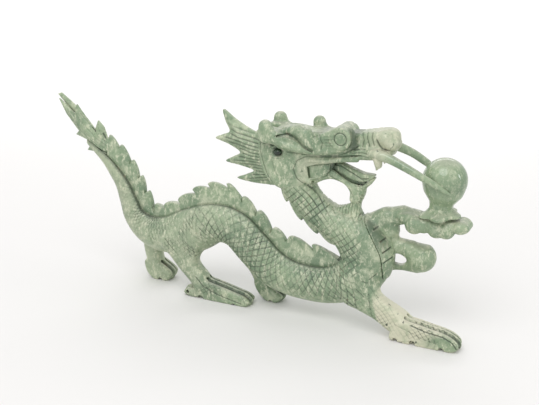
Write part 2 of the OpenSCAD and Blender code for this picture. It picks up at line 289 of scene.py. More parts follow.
class Skin:
    """A closed mesh of quads, as arrays, in millimetres."""

    def __init__(self, field):
        band = 3 * field.step
        grid = openvdb.FloatGrid(band)
        grid.copyFromArray(np.clip(field.value, -band, band))
        points, quads = grid.convertToQuads(0.0)
        self.step = field.step
        self.names = field.names
        self.points = field.low + points * field.step
        self.quads = quads.astype(np.int64)
        cell = np.rint(points[self.quads].mean(1)).astype(int)
        self.owner = field.owner[cell[:, 0], cell[:, 1], cell[:, 2]]
        self.normal = self.normals()

    def normals(self):
        p = self.points[self.quads]
        face = np.cross(p[:, 2] - p[:, 0], p[:, 3] - p[:, 1])
        total = np.zeros_like(self.points)
        for k in range(4):
            for c in range(3):
                total[:, c] += np.bincount(self.quads[:, k], face[:, c], len(total))
        return total / np.maximum(np.linalg.norm(total, axis=1), 1e-9)[:, None]

    def spread(self, values, rounds=1):
        """Each vertex's values averaged with its neighbours'."""
        out = values.astype(float).reshape(len(values), -1)
        size = len(out)
        for _ in range(rounds):
            total = out.copy()
            count = np.ones(size)
            for k in range(4):
                a, b = self.quads[:, k], self.quads[:, (k + 1) % 4]
                for c in range(out.shape[1]):
                    total[:, c] += np.bincount(a, out[b, c], size) + np.bincount(b, out[a, c], size)
                count += np.bincount(a, minlength=size) + np.bincount(b, minlength=size)
            out = total / count[:, None]
        return out.reshape(values.shape)

    def hollow(self):
        """How hollow the surface is at each vertex: above 0 in a groove, below 0 on a ridge."""
        gap = self.spread(self.points, 3) - self.points
        return self.spread((gap * self.normal).sum(1) / self.step, 1)

    def share(self, name, rounds):
        """1 where the stone belongs to the named piece, 0 elsewhere, smooth between."""
        mark = np.zeros(len(self.points))
        mark[self.quads[self.owner == self.names.index(name)].ravel()] = 1
        return self.spread(mark, rounds)

    def sideways(self, low=0.2, high=0.5):
        """1 where the surface faces the near or the far side, 0 where it faces along X or Z."""
        return share_of(np.abs(self.normal[:, 1]), low, high)


def new_object(name, data):
    item = bpy.data.objects.new(name, data)
    bpy.context.scene.collection.objects.link(item)
    return item


def make_piece(name, points, quads, triangles, attributes, normals):
    """One piece of stone as a Blender object."""
    mesh = bpy.data.meshes.new(name)
    mesh.vertices.add(len(points))
    mesh.vertices.foreach_set("co", (points * MM).astype(np.float32).ravel())
    corners = np.concatenate([quads.ravel(), triangles.ravel()])
    sizes = np.concatenate([np.full(len(quads), 4), np.full(len(triangles), 3)])
    mesh.loops.add(len(corners))
    mesh.loops.foreach_set("vertex_index", corners.astype(np.int32))
    mesh.polygons.add(len(sizes))
    mesh.polygons.foreach_set("loop_start", (np.cumsum(sizes) - sizes).astype(np.int32))
    mesh.polygons.foreach_set("use_smooth", np.ones(len(sizes), bool))
    for key, values in attributes.items():
        layer = mesh.attributes.new(key, "FLOAT", "POINT")
        layer.data.foreach_set("value", values.astype(np.float32))
    mesh.update(calc_edges=True)
    mesh.validate()
    mesh.normals_split_custom_set_from_vertices(normals.astype(np.float32))
    piece = new_object(name, mesh)
    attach(piece, "root")
    return piece


def buried_middle(field, rim, normals):
    """A point inside the stone behind a rim, chosen so that the faces to it stay inside as well."""
    centre = rim.mean(0)
    reach = np.linalg.norm(rim - centre, axis=1).mean()
    best = None
    for sink in (0.1, 0.2, 0.35, 0.55, 0.8, 1.2):
        middle = centre - sink * reach * normals.mean(0)
        spots = np.concatenate([rim + (middle - rim) * t for t in (0.3, 0.6, 0.9)])
        bare = np.maximum(field.at(spots) + COVER, 0).sum()
        if best is None or bare < best[0]:
            best = (bare, middle)
    return best[1]


def end_faces(field, quads, points, normals):
    """Closes the open ends of a mesh. Each rim is carried a little way into the stone, and from
    there it is joined to one point. Gives the new triangles and the new points."""
    n = len(points)
    a = quads.ravel()
    b = np.roll(quads, -1, axis=1).ravel()
    bare = ~np.isin(b * n + a, a * n + b)
    a, b = a[bare], b[bare]
    if not len(a):
        return np.zeros((0, 3), int), np.zeros((0, 3))
    rim, place = np.unique(np.concatenate([a, b]), return_inverse=True)
    ra, rb = place[: len(a)], place[len(a):]
    group = np.arange(len(rim))
    while True:
        low = np.minimum(group[ra], group[rb])
        new = group.copy()
        np.minimum.at(new, ra, low)
        np.minimum.at(new, rb, low)
        if (new == group).all():
            break
        group = new
    inner = points[rim] - COVER * normals[rim]
    ia, ib = n + ra, n + rb
    triangles = [np.stack([b, a, ia], 1), np.stack([b, ia, ib], 1)]
    middles = []
    for g in np.unique(group):
        mine = group[ra] == g
        last = np.full(mine.sum(), n + len(rim) + len(middles))
        triangles.append(np.stack([ib[mine], ia[mine], last], 1))
        middles.append(buried_middle(field, inner[group == g], normals[rim[group == g]]))
    return np.concatenate(triangles), np.concatenate([inner, middles])


def stone_pieces(field, relief):
    """Meshes a field, engraves it and parts it into its named pieces, which stand for the CAD nodes
    of the same names. relief gives the depth of the cuts, the painted shade in and around them and
    the cream tint, each for every vertex or as one number for all."""
    skin = Skin(field)
    hollow = skin.hollow()
    depth, painted_shade, cream = (np.broadcast_to(v, len(skin.points)) for v in relief(skin))
    skin.points = skin.points - skin.normal * depth[:, None]
    normal = skin.normals()
    for k, name in enumerate(field.names):
        used, quads = np.unique(skin.quads[skin.owner == k], return_inverse=True)
        quads = quads.reshape(-1, 4)
        points = skin.points[used]
        triangles, hidden = end_faces(field, quads, points, normal[used])
        spare = np.zeros(len(hidden))
        attributes = {
            "hollow": np.concatenate([hollow[used], spare]),
            "painted_shade": np.concatenate([painted_shade[used], spare]),
            "cream": np.concatenate([cream[used], spare]),
        }
        normals = np.concatenate([normal[used], np.tile([0.0, 0.0, 1.0], (len(hidden), 1))])
        points = np.concatenate([points, hidden])
        piece = make_piece(name + "_stone", points, quads, triangles, attributes, normals)
        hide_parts(name)
        piece.data.materials.append(POLISHED if name in GLOSSY else STONES[SLOTS[name]])


# ---- Engraving ----


def bowl(distance, width):
    """A rounded cut: 1 along its middle, 0 from its edge outwards."""
    return np.clip(1 - (distance / (0.5 * width)) ** 2, 0, 1) ** 2


def waver(a, b, size):
    """A slow, uneven wave over a surface, from -1 to 1."""
    return (
        np.sin(a / size + 1.7 * np.sin(b / (1.3 * size)))
        + np.sin(b / (0.8 * size) + 1.3 * np.sin(a / (1.1 * size) + 2))
    ) / 2


def stripes(across, pitch, width):
    """Parallel cuts at the given pitch."""
    gap = np.abs(across / pitch - np.round(across / pitch)) * pitch
    return bowl(gap, width)


def share_of(value, low, high):
    """0 below low, 1 above high and smooth between."""
    t = np.clip((value - low) / (high - low), 0, 1)
    return t * t * (3 - 2 * t)


def engrave(x, z, lines):
    """How deep each place is cut by lines in the XZ plane. A line is its points, width and depth."""
    cut = np.zeros(len(x))
    for points, width, depth in lines:
        p = np.array(points, float)
        inside = (x > p[:, 0].min() - width) & (x < p[:, 0].max() + width)
        inside &= (z > p[:, 1].min() - width) & (z < p[:, 1].max() + width)
        near = np.flatnonzero(inside)
        if len(near):
            cut[near] += depth * bowl(line_distance(p, x[near], z[near]), width)
    return cut


def spot(x, z, middle, stretch, width):
    """A rounded hollow in the XZ plane: 1 at its middle, 0 from its edge outwards."""
    return bowl(np.hypot((x - middle[0]) / stretch, z - middle[1]), width)


def plain_relief(skin):
    return 0, 0, 0


# ---- The body with its legs and paws ----

# Each leg: its outline in the XZ plane, its middle in Y and its half thickness.
LEGS = {
    "near_hind": ([(-82, 58), (-76, 38), (-66, 25), (-54, 13), (-48, 5), (-36, 5), (-32, 14), (-38, 22),
                   (-47, 32), (-48, 42), (-56, 60)], -10, 8.5),
    "far_hind": ([(-119, 50), (-117, 34), (-115, 22), (-111, 9), (-101, 6), (-96, 15), (-98, 25),
                  (-96, 38), (-96, 52)], 10, 7.5),
    "middle": ([(-14, 48), (-9, 34), (0, 20), (4, 8), (13, 6), (17, 16), (17, 28), (22, 42)], 10, 8),
    "near_fore": ([(92, 44), (98, 25), (110, 20), (126, 14), (139, 6), (150, 4), (160, 13), (155, 22),
                   (145, 28), (133, 34), (124, 42), (114, 56), (104, 56)], -13, 8.8),
}

# Each paw: its outline in the XZ plane, its middle in Y, the top line of its toes, and the round
# recesses along the near side of its sole as x, z and radius.
PAWS = {
    "near_hind": (
        [(-58, 0), (-61, 4), (-57, 9), (-50, 9), (-47, 14), (-38, 18.5), (-24, 16.5), (-8, 13), (2, 10.5),
         (8, 6), (7, 2), (3, -1), (-20, -2), (-44, -2)],
        -10,
        [(-42, 21), (-34, 18.5), (-24, 16.5), (-8, 13), (2, 10.5), (8, 6), (8, 0)],
        [(-55.5, 4.5, 1.6), (-42, 0, 3.2), (-8, -0.5, 2.2), (-47, -1, 2.2)],
    ),
    "far_hind": (
        [(-109, 1), (-114, 8), (-115, 18), (-106, 21), (-98, 19), (-89, 14), (-84, 9), (-86, 2), (-92, -2),
         (-102, -2)],
        10,
        [(-106, 29), (-103, 22), (-97, 17.5), (-89, 14), (-84, 9), (-85, 1)],
        [(-97, 0, 2.5)],
    ),
    "middle": (
        [(9, 3), (4, 10), (2, 18), (12, 20), (19, 16), (27, 11.5), (32, 7), (29, 1), (23, -2), (15, -1)],
        10,
        [(10, 28), (14, 20), (20, 15.5), (27, 11.5), (32, 7), (30, 0)],
        [(20, 0, 2.2)],
    ),
    "near_fore": (
        [(142, 0), (140, 4), (142, 10), (148, 20), (160, 20.5), (176, 18), (190, 15.5), (199, 11), (202, 6),
         (200, 1), (190, -2), (156, -2)],
        -15,
        [(154, 22), (160, 20.5), (176, 18), (190, 15.5), (199, 11), (202, 6), (200, 0)],
        [(147, 1.5, 2), (162, 1.5, 2.6), (187, 0.5, 2.4), (152, -1, 2)],
    ),
}
TOE_GAP = 5.4
TOE_HALF = 2.9

# Limbs as points of x, y, z and radius.
RAISED_ARM = [
    [(116, 8, 78, 8), (134, 9, 74, 7.5), (148, 9, 72, 8.5), (157, 9, 67, 13)],
    [(122, 8, 54.5, 4), (140, 9, 55.6, 3.4), (152, 9, 60, 8)],
    [(132, 9, 78, 5), (129, 8, 88, 8.5), (128, 7, 99, 8.5), (140, 8, 103, 8), (154, 7, 101, 7)],
    [(98, 3, 82, 14), (116, 6, 92, 9), (126, 7, 99, 8.5)],
]
# The hole between the two bars of the raised arm is a little longer than it is high.
ARM_HOLE = (138.5, 63.2)
ARM_HOLE_RADIUS = 5.8
ARM_HOLE_STRETCH = 1.15
THROAT = [(55, 0, 118, 9), (62.5, 0, 107.5, 7.5), (72, 0, 100, 7.5), (84, 0, 96, 8)]
RAISED_SIDE = 7
RAISED_PALM = [
    (136, 104), (143, 98), (152, 96), (170, 95), (184, 97), (194, 97), (198, 101), (194, 106),
    (182, 106), (160, 106), (146, 108),
]
# The curled toes under the raised paw, as x, z and radius.
CURLED_TOES = [(152, 98.5, 8), (160, 99.5, 7), (171, 98, 8), (179, 98, 7.6), (190, 101.5, 5.4)]

# The last spine station of each stretch of the body.
STRETCHES = [("tail", 5), ("rump", 9), ("back", 13), ("belly", 17), ("chest", 21), ("neck", 99)]
# A groove runs along each side of the fins. It ends at this station, where the neck begins.
GROOVE_RADIUS = 2.6
GROOVE_SIDE = 6.2
GROOVE_END = 20.6


def spine_plane(f):
    """The spine's coordinates over a field's XZ plane."""
    index, up, past = spine.nearest(f.x[:, 0, :], f.z[0, :, :])
    return index[:, None, :], up[:, None, :].astype(np.float32), past[:, None, :].astype(np.float32)


def groove_distance(index, up, y):
    """The distance to the middle of the groove that runs on each side of the fins."""
    half = spine.half[index] + 1
    side = spine.side[index]
    out = np.minimum(GROOVE_SIDE, 0.62 * side)
    high = half * np.sqrt(1 - (out / side) ** 2) + 0.6
    distance = np.hypot(up - high, np.abs(y) - out)
    return np.where(index > GROOVE_END * SPINE_STEPS, FAR, distance)


def add_trunk(f):
    """The body round the spine, in stretches. Gives the spine's coordinates over the field."""
    index, up, past = spine_plane(f)
    half = (spine.half[index] + 1).astype(np.float32)
    side = spine.side[index].astype(np.float32)
    k = np.sqrt(((up - 1) / half) ** 2 + (past / half) ** 2 + (f.y / side) ** 2)
    f.value[...] = (k - 1) * np.minimum(half, side)
    first = 0
    for name, last in STRETCHES:
        mine = (index >= first * SPINE_STEPS) & (index < last * SPINE_STEPS)
        np.copyto(f.owner, f.name(name), where=mine)
        first = last
    return index, up


def add_leg(f, name, outline, y, half):
    part = f.around(outline, y, half + 6)
    part.add(part.plate(outline, y, half, 7), 7, name + "_leg")


def add_paw(f, name, outline, y, top, recesses):
    """Three toes side by side, with a groove along each gap, and round recesses at the sole."""
    part = f.around(outline, y, 16)
    flat = part.flat(outline)
    toes = np.float32(FAR)
    for gap, shorter in ((-TOE_GAP, 1.2), (0, 0), (TOE_GAP, 1.2)):
        toes = joined(toes, slab(flat + shorter, part.y - y - gap, TOE_HALF, 2.5), 0.8)
    part.add(toes, 1.5, name + "_paw")
    line = smooth_line(top, 6)
    for side in SIDES:
        groove = chain(part, [(x, y + side * TOE_GAP / 2, z - 0.6, 1.5) for x, z in line])
        part.cut(groove, 0.4)
    for x, z, radius in recesses:
        hole = np.hypot(part.x - x, part.z - z) - radius
        part.cut(np.maximum(hole, np.abs(part.y - y + 9) - 4.5), 0.4)


def add_raised_arm(f):
    """The raised foreleg under the pearl, with its paw and curled toes."""
    arm = f.block((108, -8, 40), (206, 22, 118))
    limbs = np.float32(FAR)
    for points in RAISED_ARM:
        limbs = joined(limbs, chain(arm, points, 1.1), 2.5)
    arm.add(limbs, 4, "raised_leg")
    paw = f.around(RAISED_PALM, RAISED_SIDE, 16)
    paw.add(paw.plate(RAISED_PALM, RAISED_SIDE, 9.5, 4), 2, "raised_paw")
    for x, z, radius in CURLED_TOES:
        for y in (RAISED_SIDE - 6, RAISED_SIDE, RAISED_SIDE + 6):
            paw.add(ball(paw, x, y, z, radius), 1.6, "raised_paw")


def carve_body():
    f = Field((-176, -27, -3), (214, 27, 152), BODY_STEP)
    index, up = add_trunk(f)
    for name, leg in LEGS.items():
        add_leg(f, name, *leg)
    for name, paw in PAWS.items():
        add_paw(f, name, *paw)
    add_raised_arm(f)
    f.add(chain(f, THROAT), 3, "neck")
    x, z = ARM_HOLE
    f.cut(np.hypot((f.x - x) / ARM_HOLE_STRETCH, f.z - z) - ARM_HOLE_RADIUS, 0.6)
    f.cut(groove_distance(index, up, f.y) - GROOVE_RADIUS, 0.6)
    f.cut(np.broadcast_to(f.z, f.value.shape))
    return f


# Engraved lines are given as points of x and z, a width and a depth. A depth below 0 is a ridge.
FORE_LINES = [
    ([(122, 38), (123, 30), (126, 16)], 1.4, 0.5),
    ([(160, 18), (174, 14.5), (188, 13), (196, 9.5), (201, 3)], 1.7, 1.0),
    ([(146, 16), (156, 13), (170, 8), (182, 6)], 1.3, 0.4),
    ([(166, 21), (168, 17), (170, 15)], 1.2, 0.5),
    ([(176, 19), (178, 16), (179, 13)], 1.2, 0.5),
    ([(186, 17), (188, 14), (189, 11)], 1.2, 0.5),
] + [([(x, z), (x + 1, z - 4), (x, z - 8)], 1.3, 0.5) for x, z in ((176, 10), (181, 9))]
HIND_TICKS = ((-32, 12), (-26, 10), (-20, 8.5), (-14, 7))
HIND_LINES = [([(-46, 21), (-38, 13), (-26, 8), (-12, 5), (0, 3)], 1.5, 0.8)]
HIND_LINES += [([(x, z), (x + 1, z - 4)], 1.2, 0.5) for x, z in HIND_TICKS]
# The edge between the scales of the chest and the smooth strip in front of them.
STRIP_EDGE = [(110, 99), (120, 86), (128, 72), (130, 60), (130, 48)]
# Cuts in the throat and the shoulder, and along the belly strip.
CHEST_LINES = [
    (smooth_line(STRIP_EDGE, 4), 1.6, 1.0),
    ([(60, 123), (70, 114), (80, 108), (89, 104), (98, 105)], 1.4, 0.6),
    ([(76, 110), (83, 113)], 2.0, 1.2),
    ([(66, 118), (71, 121)], 2.0, 1.2),
    ([(121, 50), (126, 55)], 1.5, 0.7),
    ([(115, 49), (121, 47)], 1.5, 0.5),
    ([(103, 38), (108, 35)], 1.5, 0.6),
    ([(111, 41), (118, 35)], 1.5, 0.6),
]
# The chest's grid of cuts runs along and across the neck.
GRID_TURN = math.radians(43)
# The green patch on the cream fore paw.
GREEN_PATCH = (191, 7)
# Turns an angle round the body into a length round it.
BODY_RADIUS = 19


def scale_cuts(x, y, z):
    """The cross-cut scales: how deep each place is cut, from 0 to 1. They are small diamonds on the
    tail and rump, larger ones on the back and belly, and a grid on the chest and neck. Also gives
    each place's spine sample and its height above the spine."""
    index, up, _ = spine.nearest(x, z)
    station = index / SPINE_STEPS
    around = BODY_RADIUS * np.arctan2(np.abs(y) / spine.side[index], up / spine.half[index])
    along = spine.arc[index] + 0.8 * waver(x, z, 9)
    round_body = around + 0.8 * waver(z, x, 7)

    def diamonds(slope, pitch, width):
        reach = np.hypot(1, slope)
        return np.maximum(stripes((slope * along + round_body) / reach, pitch, width),
                          stripes((slope * along - round_body) / reach, pitch, width))

    across = x * math.cos(GRID_TURN) + z * math.sin(GRID_TURN) + 0.7 * waver(z, x, 8)
    down = z * math.cos(GRID_TURN) - x * math.sin(GRID_TURN) + 0.7 * waver(x, z, 8)
    grid = np.maximum(stripes(across, 4.4, 1.5) * (0.85 + 0.3 * waver(z, x, 6)),
                      stripes(down, 5.0, 1.5) * (0.85 + 0.3 * waver(x, z, 5)))
    large = diamonds(1.7, 5.0, 1.7)
    small = diamonds(2.4, 3.6, 1.4) * (0.62 + 0.45 * waver(2 * x, z, 6)) * share_of(station, 0.5, 6)
    on_chest = share_of(station, 17.6, 18.6)
    on_belly = share_of(station, 8.5, 11)
    cuts = small + (large - small) * on_belly
    cuts = cuts + (grid - cuts) * on_chest
    cuts *= 0.75 + 0.3 * waver(x, z, 10)
    cuts *= share_of(around, 8, 13) * (1 - share_of(around, 51, 57) * share_of(z, 60, 70))
    return cuts, index, up


def toe_shade(x, y, z):
    """Painted shade in the grooves between the toes."""
    painted_shade = np.zeros(len(x))
    for _, middle, top, _ in PAWS.values():
        line = smooth_line(top, 6)
        low, high = line.min(0) - 4, line.max(0) + 4
        gap = np.abs(np.abs(y - middle) - TOE_GAP / 2)
        near = np.flatnonzero((gap < 3) & (x > low[0]) & (x < high[0]) & (z > low[1]) & (z < high[1]))
        reach = np.hypot(line_distance(line, x[near], z[near] + 1.2), gap[near])
        painted_shade[near] = np.maximum(painted_shade[near], bowl(reach, 4.8) ** 0.5)
    return painted_shade


def body_relief(skin):
    x, y, z = skin.points.T
    cuts, index, up = scale_cuts(x, y, z)
    cuts = cuts * share_of(z + 0.15 * (x - 60) * (x < 60), 14, 30) * (1 - share_of(x, 108, 118))
    cuts *= 1 - share_of(-outline_distance(STRIP, x, z), -2.5, -0.5)
    flank = skin.sideways()
    near = share_of(-y, 0, 4) * flank
    lines = engrave(x, z, FORE_LINES + HIND_LINES) * near
    lines += engrave(x, z, CHEST_LINES) * flank + engrave(x, z, STRIP_LINES) * share_of(-y, 1, 4)
    groove = bowl(groove_distance(index, up, y), 11) ** 0.5 + toe_shade(x, y, z)
    fore = skin.share("near_fore_leg", 2) + skin.share("near_fore_paw", 2)
    cream = share_of(x + 0.25 * (z - 28), 126, 128) * share_of(fore, 0.3, 0.7)
    cream *= 1 - share_of(z - 0.3 * y, 40, 46)
    green = 1.3 * spot(x, z, GREEN_PATCH, 2.4, 22) * share_of(-y, 6, 12)
    limb = skin.share("near_hind_leg", 4) + skin.share("near_hind_paw", 4) + fore
    ticks = np.maximum(stripes(x + 0.9 * z + 0.8 * waver(x, z, 6), 4.6, 1.4),
                       stripes(x - 1.5 * z + 0.8 * waver(z, x, 6), 5.4, 1.4))
    ticks *= near * share_of(limb, 0.4, 0.8) * share_of(z, 3, 8) * (0.6 + 0.5 * waver(z, x, 8))
    under = skin.share("raised_paw", 2) * share_of(93 - z, 0, 3)
    cream = 0.95 * cream - green
    # Painted shade: dark in the cut scales, lines and ticks, in a wide band along each fin groove, between
    # the toes and on the strip's near side.
    painted_shade = cuts + 1.1 * lines + 0.8 * ticks
    painted_shade = painted_shade + groove * (1 - 0.7 * np.clip(cream, 0, 1)) + strip_shade(x, y, z)
    pale = 0.16 * share_of(-x, -10, 60) + 0.12 * share_of(-x, 95, 125)
    cream = cream + pale + 0.35 * under
    return 0.75 * cuts + lines + 0.5 * ticks, np.clip(painted_shade, 0, 1), np.clip(cream, 0, 1)


# ---- Fins ----

# The tips of the lobes from the tail to the head, at Y = 0.
TAIL_TIPS = [(-144, 140), (-132, 132), (-120, 119), (-111, 105), (-104, 91), (-97, 79)]
BACK_TIPS = [
    (-97, 79), (-87, 80), (-72, 87), (-57, 99), (-41, 107), (-22, 110), (-6, 100), (9, 89),
    (24, 75), (39, 69), (61, 65), (80, 62),
]
NECK_TIPS = [(80, 70), (67, 77), (52, 87), (38, 102), (30, 113)]
# Each fin: its tips, the spine stations at its ends, how deep its notches are, and how far its lobes
# bulge as a share of their length.
FINS = {
    "tail_fin": (TAIL_TIPS, 1.0, 7.0, 4.5, 0.10),
    "back_fin": (BACK_TIPS, 6.4, 17.6, 5, 0.13),
    "neck_fin": (NECK_TIPS, 20.8, 25.8, 3.5, 0.08),
}
# The half thickness of the fins where they leave the body, and the least they thin to.
FIN_ROOT = 4.8
FIN_TIP = 2.0


def lobed_edge(tips, first, last, notch, bulge):
    """The free edge of a fin. From each tip it bulges out, then falls to a notch under the next."""
    points = []
    for (x0, z0), (x1, z1) in zip(tips[:-1], tips[1:]):
        i = spine.at(x1, z1, first, last)
        forward = 1 if spine.at(x0, z0, first, last) < i else -1
        out, ahead = spine.n[i], spine.t[i] * forward
        chord = np.hypot(x1 - x0, z1 - z0)
        low = np.array([x1, z1]) + ahead * 0.1 * chord - out * notch
        start = np.array([x0, z0], float)
        for t in (0, 0.08, 0.2, 0.4, 0.6, 0.8, 0.93):
            points.append(start + (low - start) * t + out * bulge * chord * 4 * t**0.7 * (1 - t))
        points.append(low)
    return points


def fin_field(name, tips, first, last, notch, bulge):
    """A fin whose free edge has the given tips, rooted in the body from one station to another."""
    edge = lobed_edge(tips, first, last, notch, bulge)
    forward = spine.at(*tips[0], first, last) < spine.at(*tips[-1], first, last)
    ends = (last, first) if forward else (first, last)
    index = (np.linspace(*ends, 40) * SPINE_STEPS).astype(int)
    depth = spine.half[index] * 0.55
    root = np.stack([spine.x[index], spine.z[index]], 1) + spine.n[index] * depth[:, None]
    p = np.concatenate([edge, root])
    low, high = p.min(0) - 4, p.max(0) + 4
    f = Field((low[0], -8, low[1]), (high[0], 8, high[1]), FINE_STEP)
    flat = f.flat(p, False)
    at, up, _ = spine_plane(f)
    height = up - spine.half[at]
    half = np.clip(FIN_ROOT - 0.22 * height, FIN_TIP, FIN_ROOT).astype(np.float32)
    f.add(slab(flat, f.y, half, 1.2), 0, name)
    return f


# ---- The tail's flame ----

FLAME = [
    (-198, 170), (-190, 155), (-178, 141), (-162, 126), (-150, 117), (-140, 122), (-136, 132),
    (-146, 138), (-149, 147), (-155, 153), (-159, 144), (-170, 156), (-178, 166), (-181, 156),
    (-190, 164),
]
FAR_PRONG = [(-202, 172.5), (-198, 174), (-189, 168), (-176, 158), (-176, 150), (-190, 160)]
BARBS = [
    [(-174, 146), (-184, 135), (-168, 130), (-164, 138)],
    [(-165, 131), (-172, 121), (-158, 120), (-156, 128)],
]
FLAME_LINES = [
    ([(-193, 163), (-184, 151), (-172, 139), (-160, 130), (-148, 124)], 1.3, 0.5),
    ([(-188, 159), (-178, 147), (-166, 136), (-152, 128)], 1.3, 0.5),
    ([(-184, 157), (-174, 146), (-162, 136), (-148, 128)], 1.2, 0.4),
    ([(-178, 157), (-168, 146), (-156, 136), (-144, 130)], 1.3, 0.5),
    ([(-174, 158), (-163, 147), (-152, 137), (-142, 132)], 1.2, 0.4),
    ([(-154, 147), (-150, 139), (-146, 131)], 1.2, 0.4),
    ([(-166, 130), (-158, 127), (-148, 124), (-137, 119)], 2.4, 1.1),
    ([(-161, 146), (-158, 142.5)], 2.6, 0.9),
    ([(-149, 141), (-147, 137)], 2.6, 0.9),
]


def flame_field():
    f = Field((-206, -9, 112), (-132, 12, 180), FINE_STEP)
    f.add(blade(f.flat(FLAME, False), f.y + 1, 0.9, 0.55, 4.2), 0, "tail_flame")
    f.add(blade(f.flat(FAR_PRONG, False), f.y - 3.5, 0.8, 0.5, 2.2), 0.4, "tail_flame")
    return f


def flame_relief(skin):
    x, _, z = skin.points.T
    lines = engrave(x, z, FLAME_LINES) * skin.sideways()
    # Painted shade darkens the engraved lines.
    return lines, np.clip(lines, 0, 1), 0


def barb_field():
    """Two thorns on the far side of the flame."""
    f = Field((-188, -3, 114), (-150, 10, 150), FINE_STEP)
    for barb in BARBS:
        f.add(blade(f.flat(barb, False), f.y - 3, 0.6, 0.5, 2.5), 0, "tail_barbs")
    return f


# ---- The head ----

SKULL = [
    (16, 158), (15, 145), (19, 131), (27, 121), (38, 116.5), (52, 119), (62, 125.5), (75, 132.5),
    (81, 139.5), (82, 150), (68, 166), (54, 170), (32, 169),
]
MUZZLE = [
    (58, 168), (56, 149), (64, 146), (82, 148), (100, 150.5), (118, 152.5), (128, 154), (134, 160),
    (137, 168), (136, 176), (130, 179), (120, 177), (106, 174), (92, 172), (76, 171),
]
LIP = [(104, 152), (90, 150), (76, 147), (62, 146), (55, 141), (54, 135), (57, 130), (62, 127)]
LIP_SIDE = 11.3
LIP_RADIUS = 2.3
BROW = [
    (15, 160), (30, 156), (45, 153), (60, 152), (76, 153), (90, 157), (97, 162), (94, 172),
    (84, 172), (72, 168), (56, 166), (40, 167), (26, 170), (16, 168),
]
# The curled front ends of the brows, as x, z and radius.
SCROLL = (91, 169.5, 9.6)
FAR_SCROLL = (87, 166.5, 9)
BROW_RIDGE = [
    (22, 15, 166, 4.6), (30, 16, 162, 4), (41, 16.5, 158, 3.4), (53, 16.5, 156, 3),
    (67, 16.5, 156, 2.8), (80, 16, 158, 2.6),
]
HORN_SIDE = 15.5
# The near knob curls forward and down over the brow. Its depth is measured towards the near side.
NEAR_KNOB = [
    (39, 10.5, 166, 3.4), (47, 12.5, 170, 4.4), (54, 14, 171, 5.6), (60, 15.5, 169, 6),
    (65, 17, 163, 4.8), (71, 17, 159, 2.8),
]
# What joins the near knob to the scroll.
KNOB_BRIDGE = [(74, 13.5, 167, 4), (85, 14, 171.5, 5)]
# The gap between the scroll and the snout, the dip between the knob and the scroll, the cut inside
# the knob's root, and the groove along the knob's lower edge.
BROW_CUTS = [
    [(101.8, 12.6, 182, 4.2), (101.8, 12.8, 164, 3.8), (98.5, 13, 158.5, 2.4)],
    [(68.5, 11.5, 174, 3.8), (76, 13, 175.4, 3)],
    [(36, 8, 170, 1.6), (43, 9, 169, 1.4), (50, 10, 167, 1)],
    [(35, 18, 165, 0.8), (43, 16, 167, 2.2), (52, 17, 165, 2.2), (59, 18.5, 160, 1.7), (67, 19, 157, 1.2)],
]
CHEEK = [(62, 130), (60, 140), (68, 143), (80, 145), (80, 138), (74, 132)]
# The ends of the cheek panel: the dark slot behind it and the hole before the throat.
MOUTH_CUTS = [[(60, 10, 138, 1.2), (60.5, 10, 131, 1.6)], [(82, 9, 144, 2.0), (81, 9, 136, 1.6)]]
NOSTRIL = [(120, 170), (122, 166), (125, 163), (131, 162)]
NOSTRIL_RADII = (0.7, 1.3, 1.1, 0.6)
WHISKER_ROOT = [(115, 9.5, 158.5, 3.6), (121, 10.5, 158.5, 4.4), (127, 9.5, 157.5, 4.4)]
NOSE_TIP = [(126, 6.5, 171, 5), (131, 4, 166, 6)]


def add_muzzle(f):
    half = 12 - 4.5 * share_of(f.x, 118, 138) - 2.5 * share_of(f.z, 156, 166) * share_of(f.x, 92, 98)
    shape = f.plate(MUZZLE, 0, half, 4)
    # The jaw and the nose overlap by 1 mm, so that no gap is left between them.
    f.add(np.where(f.x < 103, shape, FAR), 2, "upper_jaw")
    f.add(np.where(f.x >= 102, shape, FAR), 0, "nose")
    for side in SIDES:
        part = f.block((50, -22, 120), (142, 22, 184))
        lip = [(x, LIP_SIDE, z, LIP_RADIUS) for x, z in smooth_line(LIP, 3)]
        part.add(chain(part, on_side(side, lip)), 0.8, "upper_jaw")
        part.add(chain(part, on_side(side, WHISKER_ROOT)), 1.2, "nose")
        part.add(chain(part, on_side(side, NOSE_TIP)), 2, "nose")


def add_brow(f, side, name):
    """A band over the eye that ends in a scroll. The far scroll is the smaller of the two."""
    part = f.beside(side, (6, 145), (106, 184), 26)
    part.add(part.plate(BROW, side * 11, 6.8, 3), 0.6, name)
    x, z, radius = SCROLL if side == NEAR_SIDE else FAR_SCROLL
    disc = np.hypot(part.x - x, part.z - z) - radius
    part.add(slab(disc, part.y - side * 11.8, 7, 1.4), 1.2, name)
    part.add(chain(part, on_side(side, BROW_RIDGE)), 1.2, name)


def add_horns(f):
    for side, horn, knob in ((NEAR_SIDE, "near_horn", "near_knob"), (FAR_SIDE, "far_horn", "far_knob")):
        part = f.beside(side, (6, 150), (106, 184), 26)
        y = side * HORN_SIDE
        part.add(chain(part, [(24, y, 162, 6.4), (23.4, y, 171.8, 5.8)]), 1.5, horn)
        part.add(chain(part, [(24, y, 168, 5), (36, y, 162, 3)]), 3, horn)
        if side == FAR_SIDE:
            part.add(chain(part, [(61, y, 163, 6), (60, y, 172.4, 5.4)]), 1.5, knob)
            part.add(chain(part, [(61, y, 168, 4), (73, y, 164, 3.4)]), 3, knob)
        else:
            part.add(chain(part, on_side(side, NEAR_KNOB)), 1.2, knob)
            part.add(chain(part, on_side(side, KNOB_BRIDGE)), 2, "near_brow")


